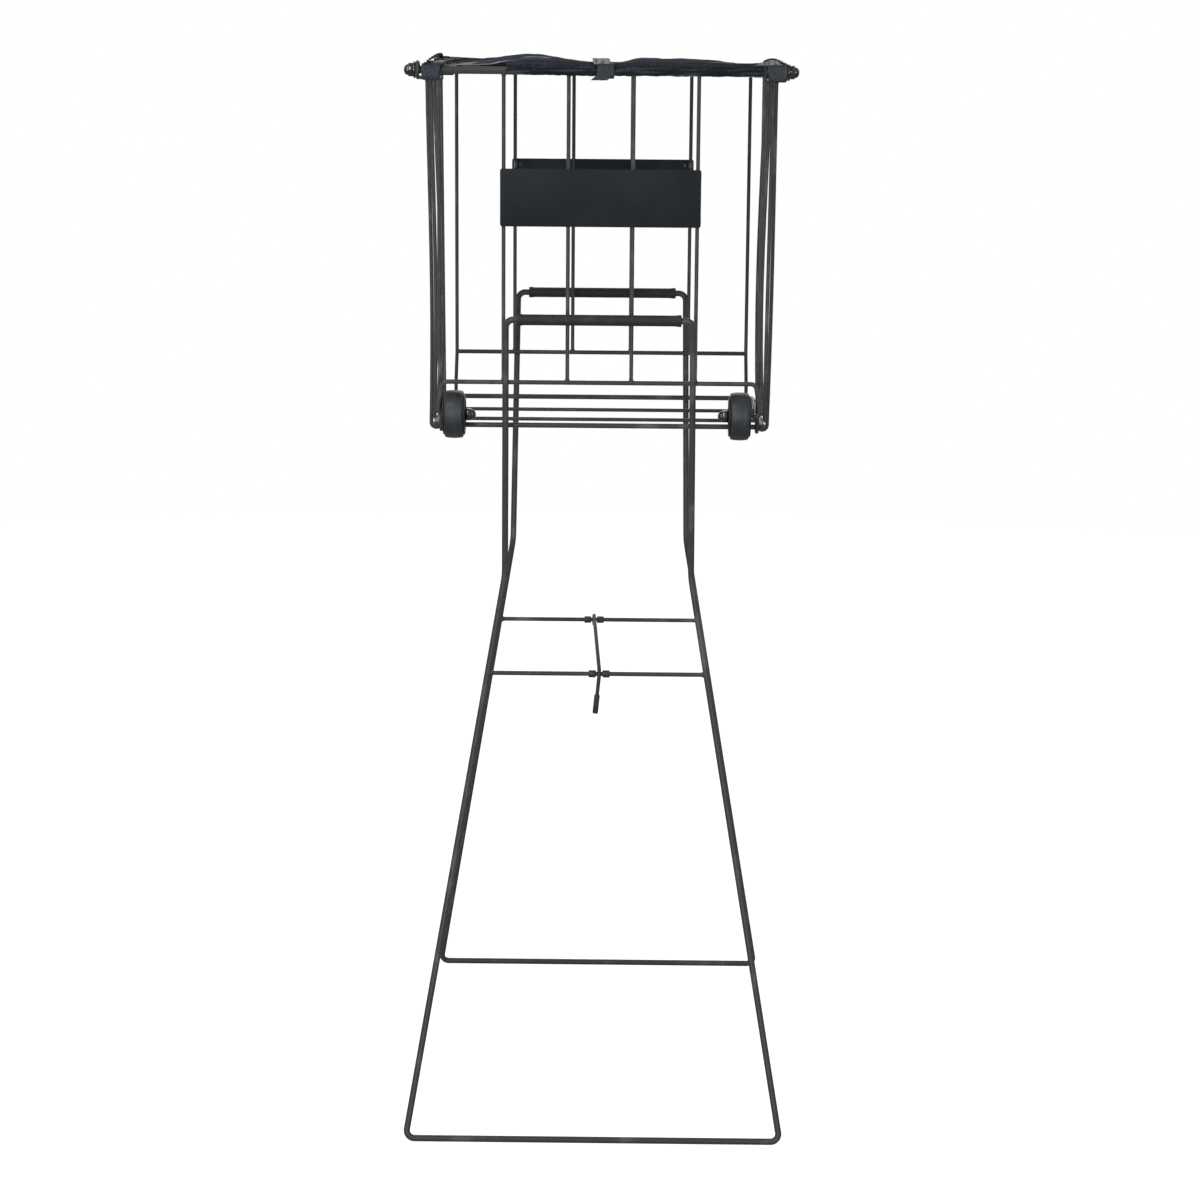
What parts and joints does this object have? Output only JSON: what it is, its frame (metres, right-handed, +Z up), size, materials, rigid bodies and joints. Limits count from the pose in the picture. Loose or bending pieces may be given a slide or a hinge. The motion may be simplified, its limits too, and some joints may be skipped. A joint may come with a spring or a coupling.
{
  "type": "tennis ball hopper",
  "caption": "Wire ball basket with a zipped cloth lid, standing on two folding wire leg loops that a hooked link ties together, with small transport wheels.",
  "frame": {"origin": "on the floor, under the middle of the basket, midway between the two feet", "axes": "+X to the right seen from the front, +Y towards the rear, +Z up; the wheels and the lid's seam are at the front, -Y"},
  "size_m": [0.298, 0.4362, 0.8263],
  "materials": {
    "black_wire": "powder-coated steel wire, satin",
    "plate": "painted sheet steel, satin, left bare of print",
    "hardware": "blackened steel, glossy",
    "clip_steel": "blackened sheet steel",
    "tyre_rubber": "dull black rubber",
    "hub_plastic": "moulded black plastic",
    "grip_rubber": "soft black sleeve, dull",
    "sleeve_vinyl": "dipped black vinyl",
    "strap_tape": "woven hook-and-loop tape",
    "lid_cloth": "plain woven black cloth",
    "zip_teeth": "coil zip on black tape"
  },
  "bodies": {
    "basket": {"front_panel": "black_wire", "back_panel": "black_wire", "side_panel_left": "black_wire", "side_panel_right": "black_wire", "floor_ring": "black_wire", "rim_washer_front_left": "hardware", "cap_nut_front_left": "hardware", "rim_washer_front_right": "hardware", "cap_nut_front_right": "hardware", "rim_washer_rear_left": "hardware", "cap_nut_rear_left": "hardware", "rim_washer_rear_right": "hardware", "cap_nut_rear_right": "hardware", "axle_nut_left": "hardware", "axle_nut_right": "hardware", "front_plate": "plate", "rear_plate": "plate", "plate_clip_front_left_lower": "clip_steel", "plate_clip_front_left_upper": "clip_steel", "plate_clip_front_right_lower": "clip_steel", "plate_clip_front_right_upper": "clip_steel", "plate_clip_rear_left_lower": "clip_steel", "plate_clip_rear_left_upper": "clip_steel", "plate_clip_rear_right_lower": "clip_steel", "plate_clip_rear_right_upper": "clip_steel", "rim_strap_front_left": "strap_tape", "rim_strap_front_right": "strap_tape", "rim_strap_front_middle": "strap_tape", "rim_strap_rear_left": "strap_tape", "rim_strap_rear_right": "strap_tape", "rim_strap_rear_middle": "strap_tape", "lid_sleeve": "lid_cloth", "lid_border": "lid_cloth", "zip_chain": "zip_teeth"},
    "front_leg": {"front_leg_loop": "black_wire", "front_grip": "grip_rubber", "link_stop_front_left": "sleeve_vinyl", "link_stop_front_right": "sleeve_vinyl"},
    "rear_leg": {"rear_leg_loop": "black_wire", "rear_grip": "grip_rubber", "link_stop_rear_left": "sleeve_vinyl", "link_stop_rear_right": "sleeve_vinyl"},
    "link": {"link_hook": "black_wire", "link_tip": "sleeve_vinyl"},
    "wheel_left": {"wheel_tyre_left": "tyre_rubber", "wheel_hub_left": "hub_plastic"},
    "wheel_right": {"wheel_tyre_right": "tyre_rubber", "wheel_hub_right": "hub_plastic"},
    "lid": {"lid_flap": "lid_cloth"},
    "slider": {"zip_slider": "hardware"},
    "pull": {"zip_pull": "hardware"}
  },
  "joints": [
    {"name": "front_fold", "type": "hinge", "parent": "basket", "child": "front_leg", "pos_m": [0, -0.1146, 0.578], "axis": [1, 0, 0], "range_deg": [0, 16]},
    {"name": "rear_fold", "type": "hinge", "parent": "basket", "child": "rear_leg", "pos_m": [0, 0.1146, 0.578], "axis": [-1, 0, 0], "range_deg": [0, 16]},
    {"name": "link_lift", "type": "hinge", "parent": "rear_leg", "child": "link", "pos_m": [-0.0045, 0.1083, 0.3475], "axis": [-1, 0, 0], "range_deg": [0, 32]},
    {"name": "wheel_left_spin", "type": "hinge", "parent": "basket", "child": "wheel_left", "pos_m": [-0.11151, -0.1146, 0.553], "axis": [1, 0, 0], "continuous": true},
    {"name": "wheel_right_spin", "type": "hinge", "parent": "basket", "child": "wheel_right", "pos_m": [0.10825, -0.1146, 0.553], "axis": [1, 0, 0], "continuous": true},
    {"name": "lid_open", "type": "hinge", "parent": "basket", "child": "lid", "pos_m": [0, -0.1068, 0.8201], "axis": [1, 0, 0], "range_deg": [0, 95]},
    {"name": "zip_slide", "type": "slide", "parent": "basket", "child": "slider", "axis": [0, 0.9999, 0.0144], "range_m": [0, 0.18]},
    {"name": "pull_tilt", "type": "hinge", "parent": "slider", "child": "pull", "pos_m": [-0.1244, -0.09005, 0.82324], "axis": [-1, 0, 0], "range_deg": [0, 160]}
  ],
  "couplings": [
    {"joint": "rear_fold", "follows": "front_fold", "ratio": 1}
  ]
}
